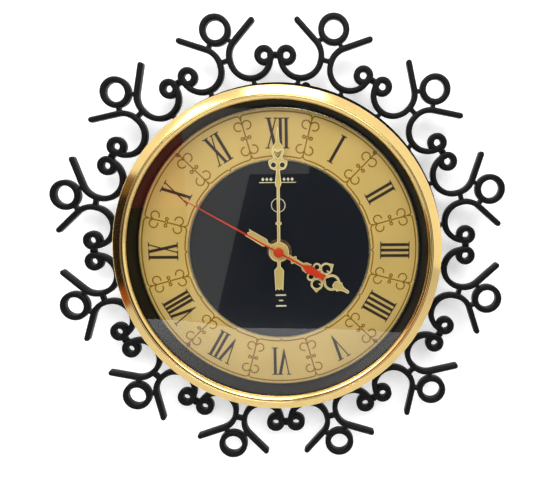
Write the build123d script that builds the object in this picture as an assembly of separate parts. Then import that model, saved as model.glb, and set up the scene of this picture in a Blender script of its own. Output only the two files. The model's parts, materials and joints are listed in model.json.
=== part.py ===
from build123d import *
from math import cos, pi, radians, sin, sqrt
import os

# Sunburst wall clock, in millimetres.
# Origin: on the hands' axis, in the wall plane. +Z is 12 o'clock, +Y points into the wall,
# so the dial faces -Y. Every axis of rotation is parallel to Y.

# ---- Driving dimensions ----
HOUR_ANGLE = 30.0                 # degrees of dial per hour

# Wreath: twelve openwork scroll units round a hoop
WREATH_BACK_Y, WREATH_FRONT_Y = -19.0, -25.0
HOOP_R = 117.4
BAR = 4.1                         # width of the scroll bars
RING_CENTRE_R, RING_R, RING_HOLE_R = 158.1, 10.9, 6.55
SCROLL_X, SCROLL_Z, SCROLL_R = 17.75, 134.4, 14.1
SCROLL_RISE = 1.3                 # straight stretch between the scroll's two arcs
ARM_ANGLE, ARM_LENGTH = 33.0, 19.0
EYE_X, EYE_Z, EYE_R, EYE_HOLE_R = 27.73, 133.2, 6.9, 2.4
NECK = 3.0                        # width of the short necks that join the bars
WAIST_Z = 136.4                   # neck between a unit's two scrolls
SIDE_NECK_R = 136.0               # neck between neighbouring units' eyes
FOOT_X = 15.6                     # neck from a scroll down to the hoop

# Case: a shallow cup, open at the back
FLOOR_FRONT_Y, FLOOR_BACK_Y = -33.0, -31.0
SEAT_Y = -45.0                    # the glass rests here
CASE_R, REAR_R, REAR_INNER_R = 113.0, 111.0, 108.5
FLANGE_R = 112.0
DIAL_WELL_R, WELL_MOUTH_R = 100.6, 104.1
WALL = 2.5
CENTRE_HOLE_R = 4.2
HANGER_Z, HANGER_BOSS_X, HANGER_BOSS_R = 97.0, 11.0, 3.5
HANGER_FRONT_Y, HANGER_BACK_Y = -3.6, -2.4
HANGER_HOLE_R = 3.5
RIM_LUG_ANGLE, RIM_LUG_R = 10.4, 3.4

# Glass and bezel
GLASS_R, GLASS_THICK = 109.0, 2.0
LIP_R, CREST_R, CREST_Y = 104.3, 106.8, -50.0
SHEET = 0.8                       # bezel sheet
GROOVE = 1.1                      # width of the groove between the bead and the slope
SLOPE_END_R, SLOPE_END_Y = 113.4, -47.0
BEZEL_R, SKIRT_FRONT_Y, BEZEL_BACK_Y = 113.9, -46.2, -37.5

# Dial
DIAL_R, DIAL_THICK = 100.3, 0.8
CHAPTER_R, CHAPTER_INNER_R, CHAPTER_THICK = 99.8, 63.8, 0.6
RIVET_RADIUS, RIVET_HEAD_R, RIVET_SHANK_R = 96.5, 1.6, 0.75

# Hands: angles clockwise from 12, and the plane of each plate's front face
HOUR_HAND_ANGLE, MINUTE_HAND_ANGLE, SECOND_HAND_ANGLE = 122.2, 1.0, 300.5
HAND_THICK = 0.5
HOUR_HAND_Y, MINUTE_HAND_Y, SECOND_HAND_Y = -37.3, -39.8, -42.5
COLLET_R = 4.6
COLLET_LENGTH = 1.6

# Arbors and tubes on the hands' axis
RUNNING = 0.06                    # radial running clearance
SECOND_ARBOR_R = 0.5
MINUTE_TUBE_R = 1.6
HOUR_TUBE_R = 2.5
BUSH_R, BUSH_TIP_Y = 4.0, -36.0
NUT_R, NUT_THICK = 8.6, 1.4
NUT_RIM, NUT_RIM_RISE = 0.7, 0.35
NUT_SLOT_R, NUT_SLOT_LENGTH, NUT_SLOT_WIDTH = 6.6, 2.2, 1.1

# Movement housing
HOUSING_FRONT_Y, HOUSING_PLATE = -30.0, 1.6
HOUSING_HALF_X, HOUSING_TOP_Z, HOUSING_BOTTOM_Z = 32.0, 30.0, -27.0
COVER_FRONT_Y, COVER_BACK_Y = -14.2, -12.6
HOUSING_WALL = 1.6
BAY_BOTTOM_Z, BAY_BACK_Y = -60.0, -8.0
BRIDGE_FRONT_Y, BRIDGE_BACK_Y, STATOR_BACK_Y = -20.9, -20.1, -19.3
POST_X, POST_TOP_Z, POST_BOTTOM_Z, POST_R = 28.6, 26.6, -23.6, 2.2
PILLARS = ((24.0, 20.0), (-15.0, 22.0), (-15.0, -18.0), (24.0, -19.0))   # under the bridge
PILLAR_R = 1.5
SCREW_R, SCREW_HEAD_R = 0.8, 1.8

# Gear trains: module, teeth, and the angle from one axis to the next (from +X towards +Z)
MINUTE_PINION_TEETH, MOTION_TEETH, KNOB_TEETH, MOTION_MODULE = 12, 36, 12, 0.5
MOTION_PINION_TEETH, HOUR_TEETH, HOUR_MODULE = 10, 40, 0.48
SECOND_PINION_TEETH, THIRD_TEETH, THIRD_MODULE = 8, 60, 0.36
THIRD_PINION_TEETH, CENTRE_TEETH, CENTRE_MODULE = 8, 64, 0.34
SECOND_TEETH, STEP_PINION_TEETH, SECOND_MODULE = 50, 10, 0.3
STEP_TEETH, ROTOR_PINION_TEETH, STEP_MODULE = 48, 8, 0.3
MOTION_DIRECTION, THIRD_DIRECTION, STEP_DIRECTION = -20.0, 75.0, 150.0
PIVOT_R, STUD_R = 0.4, 0.9

# Front and back of every layer of the gear trains
MINUTE_TUBE_Y, MINUTE_PINION_Y = (-40.6, -25.4), (-26.8, -25.4)
HOUR_TUBE_Y, HOUR_WHEEL_Y = (-38.1, -27.2), (-28.2, -27.2)
MOTION_WHEEL_Y, MOTION_PINION_Y = (-26.6, -25.6), (-28.3, -26.6)
KNOB_PINION_Y, KNOB_SHAFT_FRONT_Y = (-26.8, -25.4), -28.8
SECOND_ARBOR_Y, SECOND_PIVOT_Y = (-43.0, -14.4), (-14.4, -13.4)
SECOND_WHEEL_Y, SECOND_PINION_Y = (-19.4, -18.6), (-22.6, -21.2)
CENTRE_HUB_R, CENTRE_HUB_Y, CENTRE_WHEEL_Y = 1.4, (-25.1, -23.4), (-24.9, -24.1)
THIRD_ARBOR_R, THIRD_ARBOR_Y = 0.8, (-28.3, -21.2)
THIRD_PIVOTS_Y = ((-29.0, -28.3), (-21.2, -20.3))
THIRD_WHEEL_Y, THIRD_PINION_Y = (-22.4, -21.4), (-25.2, -23.4)
STEP_ARBOR_R, ROTOR_ARBOR_R, FAST_ARBOR_Y = 0.7, 0.6, (-20.0, -14.4)
FAST_PIVOTS_Y = ((-20.6, -20.0), (-14.4, -13.6))
STEP_WHEEL_Y, STEP_PINION_Y = (-17.4, -16.6), (-19.6, -18.2)
MAGNET_R, MAGNET_Y, ROTOR_PINION_Y = 3.0, (-19.9, -18.5), (-17.6, -16.4)

# Battery, along X below the gears
BATTERY_R, BATTERY_LENGTH, NUB_R, NUB_LENGTH = 13.1, 50.0, 3.0, 1.5
BATTERY_Z, BATTERY_Y = -43.6, -14.9

# Setting knob
KNOB_R, KNOB_FRONT_Y, KNOB_BACK_Y, KNOB_SHAFT_R = 6.5, -12.2, -6.0, 1.0


# ---- Helpers ----
def plate(sketch, front_y, back_y):
    """A flat sketch in X and Z, given thickness between two planes."""
    return extrude(Plane.XZ.offset(-back_y) * sketch, amount=back_y - front_y)


def turned(points):
    """A closed outline of (radius, y) points, turned about the hands' axis."""
    return revolve(make_face(Polyline(*points, close=True)), Axis.Y)


def disc(radius, front_y, back_y, x=0.0, z=0.0):
    return plate(Pos(x, z) * Circle(radius), front_y, back_y)


def ring(radius, hole, front_y, back_y, x=0.0, z=0.0):
    return plate(Pos(x, z) * (Circle(radius) - Circle(hole)), front_y, back_y)


def block(x0, x1, front_y, back_y, z0, z1):
    return plate(Pos((x0 + x1) / 2, (z0 + z1) / 2) * Rectangle(x1 - x0, z1 - z0), front_y, back_y)


def outline(points):
    return Polygon(*points, align=None)


def mirrored(points):
    """The right half of an outline, from bottom to top, closed by its mirror image."""
    return outline(points + [(-x, z) for x, z in reversed(points)])


def clockwise(sketch, angle):
    return Rot(0, 0, -angle) * sketch


def both_sides(sketch):
    return sketch + mirror(sketch, Plane.YZ)


# ---- Wreath ----
def scroll_bar():
    """Right-hand scroll: under the eye, round the bottom, up the inner side and out along the arm."""
    low, high = SCROLL_Z, SCROLL_Z + SCROLL_RISE
    turn_off = ARM_ANGLE + 90
    start = (SCROLL_X + SCROLL_R * cos(radians(turn_off)), high + SCROLL_R * sin(radians(turn_off)))
    tip = (start[0] + ARM_LENGTH * cos(radians(ARM_ANGLE)), start[1] + ARM_LENGTH * sin(radians(ARM_ANGLE)))
    bowl = trace(CenterArc((SCROLL_X, low), SCROLL_R, 180, 180), BAR)
    riser = Pos(SCROLL_X - SCROLL_R, (low + high) / 2) * Rectangle(BAR, SCROLL_RISE + 0.2)
    shoulder = trace(CenterArc((SCROLL_X, high), SCROLL_R, turn_off, 180 - turn_off), BAR)
    arm = trace(Line(start, tip), BAR)
    return bowl + riser + shoulder + arm + Pos(*tip) * Circle(BAR / 2)


def scroll_unit_sketch():
    eye = Pos(EYE_X, EYE_Z) * Circle(EYE_R)
    foot = Pos(FOOT_X, HOOP_R + 0.5) * Rectangle(NECK, 6)
    to_scroll = (SCROLL_X, SCROLL_Z + SCROLL_RISE - RING_CENTRE_R)
    reach = sqrt(to_scroll[0] ** 2 + to_scroll[1] ** 2)
    tie_at = (reach - SCROLL_R + RING_R - BAR / 2) / 2 / reach
    tie = Pos(to_scroll[0] * tie_at, RING_CENTRE_R + to_scroll[1] * tie_at) * Circle(NECK / 2 + 0.3)
    side_neck = Rot(0, 0, -HOUR_ANGLE / 2) * Pos(-1.25, SIDE_NECK_R) * Rectangle(2.5, NECK)
    half = scroll_bar() + eye + foot + tie + side_neck
    unit = both_sides(half) + Pos(0, WAIST_Z) * Rectangle(2 * NECK, NECK)
    unit += Pos(0, RING_CENTRE_R) * Circle(RING_R)
    unit -= both_sides(Pos(EYE_X, EYE_Z) * Circle(EYE_HOLE_R)) + Pos(0, RING_CENTRE_R) * Circle(RING_HOLE_R)
    return unit - Circle(HOOP_R)


def scroll_units():
    sketch = scroll_unit_sketch()
    units = {}
    for hour in range(12):
        turned_sketch = clockwise(sketch, HOUR_ANGLE * (hour + 0.5))
        units[f"scroll_unit_{hour + 1:02d}"] = plate(turned_sketch, WREATH_FRONT_Y, WREATH_BACK_Y)
    return units


# ---- Case, glass and bezel ----
def case_body():
    cup = turned([
        (CENTRE_HOLE_R, FLOOR_FRONT_Y), (DIAL_WELL_R, FLOOR_FRONT_Y), (WELL_MOUTH_R, SEAT_Y),
        (FLANGE_R, SEAT_Y), (CASE_R, SEAT_Y + 1), (CASE_R, WREATH_FRONT_Y), (HOOP_R, WREATH_FRONT_Y),
        (HOOP_R, WREATH_BACK_Y), (REAR_R, WREATH_BACK_Y), (REAR_R, 0), (REAR_INNER_R, 0),
        (REAR_INNER_R, FLOOR_BACK_Y), (CASE_R - WALL, FLOOR_FRONT_Y), (CASE_R - WALL, SEAT_Y + WALL),
        (WELL_MOUTH_R + 2.3, SEAT_Y + WALL), (DIAL_WELL_R + 2.3, FLOOR_BACK_Y),
        (CENTRE_HOLE_R, FLOOR_BACK_Y)])
    for x in (-HANGER_BOSS_X, HANGER_BOSS_X):
        boss = ring(HANGER_BOSS_R, SCREW_R + 0.05, HANGER_FRONT_Y - 9, HANGER_FRONT_Y, x, HANGER_Z)
        root = disc(HANGER_BOSS_R, FLOOR_BACK_Y, HANGER_FRONT_Y - 9, x, HANGER_Z)
        cup += boss + root
    lug = clockwise(Pos(0, HOOP_R - 1.6) * Circle(RIM_LUG_R), RIM_LUG_ANGLE)
    return cup + plate(lug - Circle(HOOP_R - 1), WREATH_FRONT_Y, WREATH_BACK_Y)


def glass():
    return disc(GLASS_R, SEAT_Y - GLASS_THICK, SEAT_Y)


def bezel():
    """Spun sheet: an inner bead that dips to the glass, a fine groove, an outer slope and a skirt."""
    glass_y = SEAT_Y - GLASS_THICK
    slope_start = (CREST_R + GROOVE, CREST_Y + 0.05)
    slope_end = (SLOPE_END_R, SLOPE_END_Y)
    slope_middle = ((slope_start[0] + slope_end[0]) / 2, (slope_start[1] + slope_end[1]) / 2 - 0.12)
    bead = ThreePointArc((LIP_R, glass_y - SHEET), (LIP_R + 0.9, CREST_Y + 0.75), (CREST_R, CREST_Y))
    groove = Polyline((CREST_R, CREST_Y), (CREST_R + GROOVE / 2, CREST_Y + 0.4), slope_start)
    slope = ThreePointArc(slope_start, slope_middle, slope_end)
    shoulder = ThreePointArc(slope_end, (BEZEL_R - 0.12, SLOPE_END_Y + 0.35), (BEZEL_R, SKIRT_FRONT_Y))
    inside = Polyline(
        (BEZEL_R, SKIRT_FRONT_Y), (BEZEL_R, BEZEL_BACK_Y), (BEZEL_R - SHEET, BEZEL_BACK_Y),
        (BEZEL_R - SHEET, SKIRT_FRONT_Y + SHEET), (CREST_R + GROOVE, CREST_Y + 1.2),
        (CREST_R - 0.3, CREST_Y + 1.2), (LIP_R + SHEET + 0.1, glass_y), (LIP_R, glass_y),
        (LIP_R, glass_y - SHEET))
    return revolve(make_face(bead + groove + slope + shoulder + inside), Axis.Y)


# ---- Dial ----
def rivet_places():
    return [(RIVET_RADIUS * sin(radians(a)), RIVET_RADIUS * cos(radians(a))) for a in (45, 135, 225, 315)]


def rivet_holes():
    holes = Sketch()
    for x, z in rivet_places():
        holes += Pos(x, z) * Circle(RIVET_SHANK_R + 0.05)
    return holes


def dial_plate():
    face = Circle(DIAL_R) - Circle(CENTRE_HOLE_R) - rivet_holes()
    return plate(face, FLOOR_FRONT_Y - DIAL_THICK, FLOOR_FRONT_Y)


def chapter_ring():
    back = FLOOR_FRONT_Y - DIAL_THICK
    return plate(Circle(CHAPTER_R) - Circle(CHAPTER_INNER_R) - rivet_holes(), back - CHAPTER_THICK, back)


def dial_rivets():
    front = FLOOR_FRONT_Y - DIAL_THICK - CHAPTER_THICK
    rivets = Part()
    for x, z in rivet_places():
        rivets += disc(RIVET_SHANK_R, front, FLOOR_FRONT_Y, x, z)
        rivets += disc(RIVET_HEAD_R, front - 0.4, front, x, z)
    return rivets


# ---- Hands, each drawn pointing to 12 ----
def hand(sketch, angle, front_y):
    return plate(clockwise(sketch, angle), front_y, front_y + HAND_THICK)


def zigzag_tail(half_start, half_end, start, end):
    """A tapering paddle with a saw-toothed end, below the axis."""
    tooth = half_end / 2
    right = [(0, -end), (tooth, -end + tooth), (half_end, -end - 0.3), (half_start, -start - 2.2),
             (half_start - 1.9, -start)]
    return outline(right + [(-x, z) for x, z in reversed(right[1:])])


def hour_hand():
    shape = Rectangle(3.3, 20.0, align=(Align.CENTER, Align.MIN)) + Circle(6.4)
    shape += Pos(0, 12.0) * Ellipse(3.2, 1.4)
    shape += mirrored([(1.6, 19.2), (3.2, 20.4), (3.85, 24.6), (2.9, 24.2), (2.4, 26.5), (2.4, 39.0)])
    leaves = Pos(4.1, 28.7) * Circle(3.0) + Pos(6.5, 35.0) * Circle(4.4)
    leaves += outline([(10.9, 34.8), (12.0, 37.9), (8.9, 38.6)])
    shape += both_sides(leaves)
    hoop = Pos(0, 43.6) * Circle(5.9) + mirrored([(2.6, 37.6), (5.5, 41.5), (5.5, 43.6)])
    shape += hoop
    shape += mirrored([(3.2, 48.6), (3.8, 50.0), (2.6, 50.9), (1.9, 52.0), (1.3, 53.5), (1.1, 57.0),
                       (0.5, 57.9)])
    shape -= both_sides(Pos(4.1, 28.7) * Circle(1.8) + Pos(6.5, 35.0) * Circle(3.1))
    heart = Pos(0, 43.6) * Circle(4.3) + mirrored([(0.6, 38.5), (3.6, 41.2), (3.6, 43.6)])
    heart -= mirrored([(1.6, 45.0), (2.7, 46.1), (4.0, 49.4)])
    shape -= heart
    shape += both_sides(outline([(4.9, 37.4), (5.6, 35.5), (6.1, 37.6)]))
    tail = Pos(0, -5.0) * Rectangle(2.6, 10.0) + zigzag_tail(3.0, 2.7, 9.5, 26.0)
    return shape + tail - Circle(HOUR_TUBE_R)


def minute_hand():
    shape = Circle(7.0) + Rectangle(2.0, 45.6, align=(Align.CENTER, Align.MIN))
    shape += Pos(0, 20.2) * Ellipse(2.2, 1.2)
    shape += mirrored([(1.0, 45.2), (1.7, 46.2), (2.15, 47.8), (2.0, 50.0), (1.3, 55.5), (1.3, 57.6)])
    shape += mirrored([(2.8, 57.3), (4.9, 58.2), (6.2, 60.6), (6.6, 63.4), (4.6, 64.3), (2.4, 65.5)])
    shape += mirrored([(2.0, 64.4), (3.4, 66.6), (4.1, 69.2), (3.9, 71.6), (3.4, 73.0), (2.4, 74.6),
                       (1.3, 76.2), (0.35, 86.2)])
    heart = mirrored([(0.3, 65.4), (2.2, 67.6), (2.9, 69.6), (2.4, 71.0), (1.5, 70.4), (0.9, 69.7)])
    shape -= heart + both_sides(Pos(3.05, 60.7) * Circle(1.8))
    tail = Pos(0, -6.0) * Rectangle(2.2, 12.0) + zigzag_tail(3.4, 2.7, 11.0, 27.6)
    return shape + tail - Circle(MINUTE_TUBE_R)


def second_hand():
    pointer = mirrored([(0.55, 0.0), (0.5, 40.0), (0.25, 75.0)])
    counterweight = mirrored([(2.3, -36.8), (1.9, -34.2), (2.4, -30.5), (3.0, -26.5), (2.9, -23.6),
                              (1.5, -20.9), (0.65, -19.8), (0.65, 0.0)])
    return pointer + counterweight + Circle(2.4) - Circle(SECOND_ARBOR_R)


def collet(tube_r, front_y):
    return ring(COLLET_R, tube_r, front_y - COLLET_LENGTH / 2, front_y)


def second_hub():
    cap = turned([(0, -43.4), (2.6, -43.2), (3.5, -42.7), (3.5, SECOND_HAND_Y), (0, SECOND_HAND_Y)])
    return cap - disc(SECOND_ARBOR_R, -43.0, SECOND_HAND_Y)


# ---- Hand nut and sealing washer ----
def hand_nut():
    """Round nut with a raised rim and six slots for a pin spanner."""
    back = FLOOR_FRONT_Y - DIAL_THICK
    front = back - NUT_THICK
    slots = Sketch()
    for angle in range(0, 360, 60):
        slots += Rot(0, 0, angle) * Pos(NUT_SLOT_R, 0) * Rectangle(NUT_SLOT_WIDTH, NUT_SLOT_LENGTH)
    face = plate(Circle(NUT_R) - Circle(BUSH_R) - slots, front, back)
    return face + ring(NUT_R, NUT_R - NUT_RIM, front - NUT_RIM_RISE, front)


def sealing_washer():
    return ring(9.0, BUSH_R, FLOOR_BACK_Y, HOUSING_FRONT_Y)


# ---- Gear geometry ----
def gear(teeth, module, phase):
    """Trapezoid teeth, thin enough for backlash; phase is the angle of one tooth's centre."""
    pitch_r, step = teeth * module / 2, 360 / teeth
    corners = ((-0.24, -1.15), (-0.11, 0.85), (0.11, 0.85), (0.24, -1.15))
    points = []
    for tooth in range(teeth):
        for part_of_step, height in corners:
            angle = radians(phase + (tooth + part_of_step) * step)
            radius = pitch_r + height * module
            points.append((radius * cos(angle), radius * sin(angle)))
    return outline(points)


def meshing_phase(teeth, phase, other_teeth, direction):
    """Phase of a gear that meshes with one of known phase, lying in this direction from it."""
    share = teeth * (direction - phase) / 360
    return direction + 180 - (0.5 - share) * 360 / other_teeth


def along(direction, distance, start=(0.0, 0.0)):
    return (start[0] + distance * cos(radians(direction)), start[1] + distance * sin(radians(direction)))


MOTION_DISTANCE = (MINUTE_PINION_TEETH + MOTION_TEETH) * MOTION_MODULE / 2
THIRD_DISTANCE = (SECOND_PINION_TEETH + THIRD_TEETH) * THIRD_MODULE / 2
STEP_DISTANCE = (SECOND_TEETH + STEP_PINION_TEETH) * SECOND_MODULE / 2
ROTOR_DISTANCE = (STEP_TEETH + ROTOR_PINION_TEETH) * STEP_MODULE / 2
MOTION_AXIS = along(MOTION_DIRECTION, MOTION_DISTANCE)
KNOB_AXIS = along(MOTION_DIRECTION, 2 * MOTION_DISTANCE)
THIRD_AXIS = along(THIRD_DIRECTION, THIRD_DISTANCE)
STEP_AXIS = along(STEP_DIRECTION, STEP_DISTANCE)
ROTOR_AXIS = along(STEP_DIRECTION, ROTOR_DISTANCE, STEP_AXIS)


def wheel(teeth, module, phase, front_y, back_y, axis=(0.0, 0.0), bore=0.0):
    face = gear(teeth, module, phase)
    if bore:
        face -= Circle(bore)
    return plate(Pos(*axis) * face, front_y, back_y)


def pivots(layers, axis):
    front, back = layers
    return disc(PIVOT_R, *front, *axis) + disc(PIVOT_R, *back, *axis)


# ---- Wheels that turn with the hands ----
def minute_arbor():
    tube = ring(MINUTE_TUBE_R, SECOND_ARBOR_R + RUNNING, *MINUTE_TUBE_Y)
    pinion = wheel(MINUTE_PINION_TEETH, MOTION_MODULE, 0, *MINUTE_PINION_Y, bore=MINUTE_TUBE_R)
    return tube + pinion


def hour_wheel():
    phase = meshing_phase(MOTION_PINION_TEETH, 0, HOUR_TEETH, MOTION_DIRECTION + 180)
    tube = ring(HOUR_TUBE_R, MINUTE_TUBE_R + RUNNING, *HOUR_TUBE_Y)
    return tube + wheel(HOUR_TEETH, HOUR_MODULE, phase, *HOUR_WHEEL_Y, bore=HOUR_TUBE_R)


def motion_phase():
    return meshing_phase(MINUTE_PINION_TEETH, 0, MOTION_TEETH, MOTION_DIRECTION)


def motion_wheel():
    bore = STUD_R + RUNNING
    big = wheel(MOTION_TEETH, MOTION_MODULE, motion_phase(), *MOTION_WHEEL_Y, MOTION_AXIS, bore)
    small = wheel(MOTION_PINION_TEETH, HOUR_MODULE, 0, *MOTION_PINION_Y, MOTION_AXIS, bore)
    return big + small


def setting_knob():
    """Pinion, shaft and knurled knob, one moulding; it turns the hands from the back."""
    x, z = KNOB_AXIS
    phase = meshing_phase(MOTION_TEETH, motion_phase(), KNOB_TEETH, MOTION_DIRECTION)
    pinion = wheel(KNOB_TEETH, MOTION_MODULE, phase, *KNOB_PINION_Y, KNOB_AXIS)
    shaft = disc(KNOB_SHAFT_R, KNOB_SHAFT_FRONT_Y, KNOB_FRONT_Y, x, z)
    knurl = Circle(KNOB_R)
    for angle in range(0, 360, 18):
        knurl -= Rot(0, 0, angle) * Pos(KNOB_R + 0.25, 0) * Circle(0.6)
    return pinion + shaft + plate(Pos(x, z) * knurl, KNOB_FRONT_Y, KNOB_BACK_Y)


def second_wheel():
    arbor = disc(SECOND_ARBOR_R, *SECOND_ARBOR_Y)
    pivot = disc(PIVOT_R, *SECOND_PIVOT_Y)
    big = wheel(SECOND_TEETH, SECOND_MODULE, 0, *SECOND_WHEEL_Y)
    small = wheel(SECOND_PINION_TEETH, THIRD_MODULE, 0, *SECOND_PINION_Y)
    return arbor + pivot + big + small


def centre_wheel():
    phase = meshing_phase(THIRD_PINION_TEETH, 0, CENTRE_TEETH, THIRD_DIRECTION + 180)
    hub = ring(CENTRE_HUB_R, SECOND_ARBOR_R + RUNNING, *CENTRE_HUB_Y)
    return hub + wheel(CENTRE_TEETH, CENTRE_MODULE, phase, *CENTRE_WHEEL_Y, bore=CENTRE_HUB_R)


def third_wheel():
    x, z = THIRD_AXIS
    phase = meshing_phase(SECOND_PINION_TEETH, 0, THIRD_TEETH, THIRD_DIRECTION)
    arbor = disc(THIRD_ARBOR_R, *THIRD_ARBOR_Y, x, z) + pivots(THIRD_PIVOTS_Y, THIRD_AXIS)
    big = wheel(THIRD_TEETH, THIRD_MODULE, phase, *THIRD_WHEEL_Y, THIRD_AXIS)
    small = wheel(THIRD_PINION_TEETH, CENTRE_MODULE, 0, *THIRD_PINION_Y, THIRD_AXIS)
    return arbor + big + small


def step_phase():
    return meshing_phase(SECOND_TEETH, 0, STEP_PINION_TEETH, STEP_DIRECTION)


def intermediate_wheel():
    x, z = STEP_AXIS
    arbor = disc(STEP_ARBOR_R, *FAST_ARBOR_Y, x, z) + pivots(FAST_PIVOTS_Y, STEP_AXIS)
    small = wheel(STEP_PINION_TEETH, SECOND_MODULE, step_phase(), *STEP_PINION_Y, STEP_AXIS)
    return arbor + small + wheel(STEP_TEETH, STEP_MODULE, 0, *STEP_WHEEL_Y, STEP_AXIS)


def rotor():
    """Two-pole magnet on a plastic arbor with its pinion."""
    x, z = ROTOR_AXIS
    phase = meshing_phase(STEP_TEETH, 0, ROTOR_PINION_TEETH, STEP_DIRECTION)
    arbor = disc(ROTOR_ARBOR_R, *FAST_ARBOR_Y, x, z) + pivots(FAST_PIVOTS_Y, ROTOR_AXIS)
    magnet = disc(MAGNET_R, *MAGNET_Y, x, z)
    return arbor + magnet + wheel(ROTOR_PINION_TEETH, STEP_MODULE, phase, *ROTOR_PINION_Y, ROTOR_AXIS)


# ---- Stepping motor and circuit ----
def stator():
    x, z = ROTOR_AXIS
    limb = Pos(-15.1, 1.0) * Rectangle(7.8, 34.0)
    arms = Pos(-19.9, 16.2) * Rectangle(17.4, 3.6) + Pos(-19.9, -14.2) * Rectangle(17.4, 3.6)
    return plate(limb + arms - Pos(x, z) * Circle(3.5), BRIDGE_BACK_Y, STATOR_BACK_Y)


def coil_core():
    return block(-28.4, -25.0, STATOR_BACK_Y, STATOR_BACK_Y + 0.8, -16.0, 18.0)


def coil_winding():
    core_y = STATOR_BACK_Y + 0.4
    body = plate(Pos(-26.7, 1.0) * RectangleRounded(5.6, 25.0, 0.6), core_y - 2.2, core_y + 2.2)
    return body - coil_core()


def circuit_board():
    x, z = KNOB_AXIS
    face = Pos(15.4, -17.0) * Rectangle(22.0, 11.0) - Pos(x, z) * Circle(1.8)
    return plate(face, BRIDGE_BACK_Y, BRIDGE_BACK_Y + 1.0)


def quartz_crystal():
    board_back = BRIDGE_BACK_Y + 1.0
    can = Rot(0, 90, 0) * Cylinder(1.5, 8.0)
    feet = block(8.4, 9.2, board_back, board_back + 0.8, -20.4, -19.2)
    return Pos(13.0, board_back + 1.7, -19.8) * can + feet


def control_chip():
    board_back = BRIDGE_BACK_Y + 1.0
    return block(20.0, 25.0, board_back, board_back + 1.2, -20.5, -15.5)


# ---- Movement housing ----
def post_places():
    return [(x, z) for x in (-POST_X, POST_X) for z in (POST_BOTTOM_Z, POST_TOP_Z)]


def movement_housing():
    """Front half: mounting plate, gear-chamber walls, battery bay and the threaded centre bush."""
    half, wall, front = HOUSING_HALF_X, HOUSING_WALL, HOUSING_FRONT_Y
    inner = front + HOUSING_PLATE
    body = block(-half, half, front, inner, BAY_BOTTOM_Z, HOUSING_TOP_Z)
    body += block(-half, half, inner, COVER_FRONT_Y, HOUSING_TOP_Z - wall, HOUSING_TOP_Z)
    body += block(-half, half, inner, COVER_FRONT_Y, HOUSING_BOTTOM_Z, HOUSING_BOTTOM_Z + wall)
    body += block(-half, half, inner, BAY_BACK_Y, BAY_BOTTOM_Z, BAY_BOTTOM_Z + wall)
    for x in (-half, half - wall):
        body += block(x, x + wall, inner, COVER_FRONT_Y, HOUSING_BOTTOM_Z, HOUSING_TOP_Z)
        body += block(x, x + wall, inner, BAY_BACK_Y, BAY_BOTTOM_Z, HOUSING_BOTTOM_Z - 2)
        body += block(x, x + wall, inner, COVER_FRONT_Y, HOUSING_BOTTOM_Z - 2, HOUSING_BOTTOM_Z)
    for x, z in post_places():
        body += disc(POST_R, inner, COVER_FRONT_Y, x, z)
        body -= disc(SCREW_R + 0.05, COVER_FRONT_Y - 6, COVER_FRONT_Y, x, z)
    for x, z in PILLARS:
        body += disc(PILLAR_R, inner, BRIDGE_FRONT_Y, x, z)
    body += disc(STUD_R, inner, -25.3, *MOTION_AXIS) + disc(BUSH_R, BUSH_TIP_Y, inner)
    body -= disc(HOUR_TUBE_R + RUNNING, BUSH_TIP_Y, inner)
    body -= disc(PIVOT_R + RUNNING, inner - 0.9, inner, *THIRD_AXIS)
    return body - disc(KNOB_SHAFT_R + RUNNING, inner - 0.6, inner, *KNOB_AXIS)


def train_bridge():
    """Middle plate that carries the fast arbors' front pivots."""
    face = Pos(5.0, 1.4) * Rectangle(47.0, 49.0)
    face -= Circle(SECOND_ARBOR_R + 0.6)
    for x, z in (THIRD_AXIS, STEP_AXIS, ROTOR_AXIS):
        face -= Pos(x, z) * Circle(PIVOT_R + RUNNING)
    face -= Pos(*KNOB_AXIS) * Circle(KNOB_SHAFT_R + 0.8)
    for x, z in post_places():
        face -= Pos(x, z) * Circle(POST_R + 0.1)
    return plate(face, BRIDGE_FRONT_Y, BRIDGE_BACK_Y)


def movement_cover():
    middle = (HOUSING_TOP_Z + HOUSING_BOTTOM_Z) / 2
    face = Pos(0, middle) * Rectangle(2 * HOUSING_HALF_X, HOUSING_TOP_Z - HOUSING_BOTTOM_Z)
    for x, z in ((0, 0), STEP_AXIS, ROTOR_AXIS):
        face -= Pos(x, z) * Circle(PIVOT_R + RUNNING)
    face -= Pos(*KNOB_AXIS) * Circle(KNOB_SHAFT_R + RUNNING)
    for x, z in post_places():
        face -= Pos(x, z) * Circle(SCREW_R + 0.2)
    return plate(face, COVER_FRONT_Y, COVER_BACK_Y)


def cover_screws():
    screws = Part()
    for x, z in post_places():
        screws += disc(SCREW_R, COVER_FRONT_Y - 5, COVER_BACK_Y, x, z)
        head = Pos(x, z) * (Circle(SCREW_HEAD_R) - Rectangle(0.5, 2.4) - Rectangle(2.4, 0.5))
        screws += plate(head, COVER_BACK_Y, COVER_BACK_Y + 1.0)
    return screws


# ---- Battery and contacts ----
def battery():
    x_end = BATTERY_LENGTH / 2
    can = Pos(-NUB_LENGTH / 2, BATTERY_Y, BATTERY_Z) * Rot(0, 90, 0)
    nub = Pos(x_end - NUB_LENGTH / 2, BATTERY_Y, BATTERY_Z) * Rot(0, 90, 0)
    return can * Cylinder(BATTERY_R, BATTERY_LENGTH - NUB_LENGTH) + nub * Cylinder(NUB_R, NUB_LENGTH)


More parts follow.
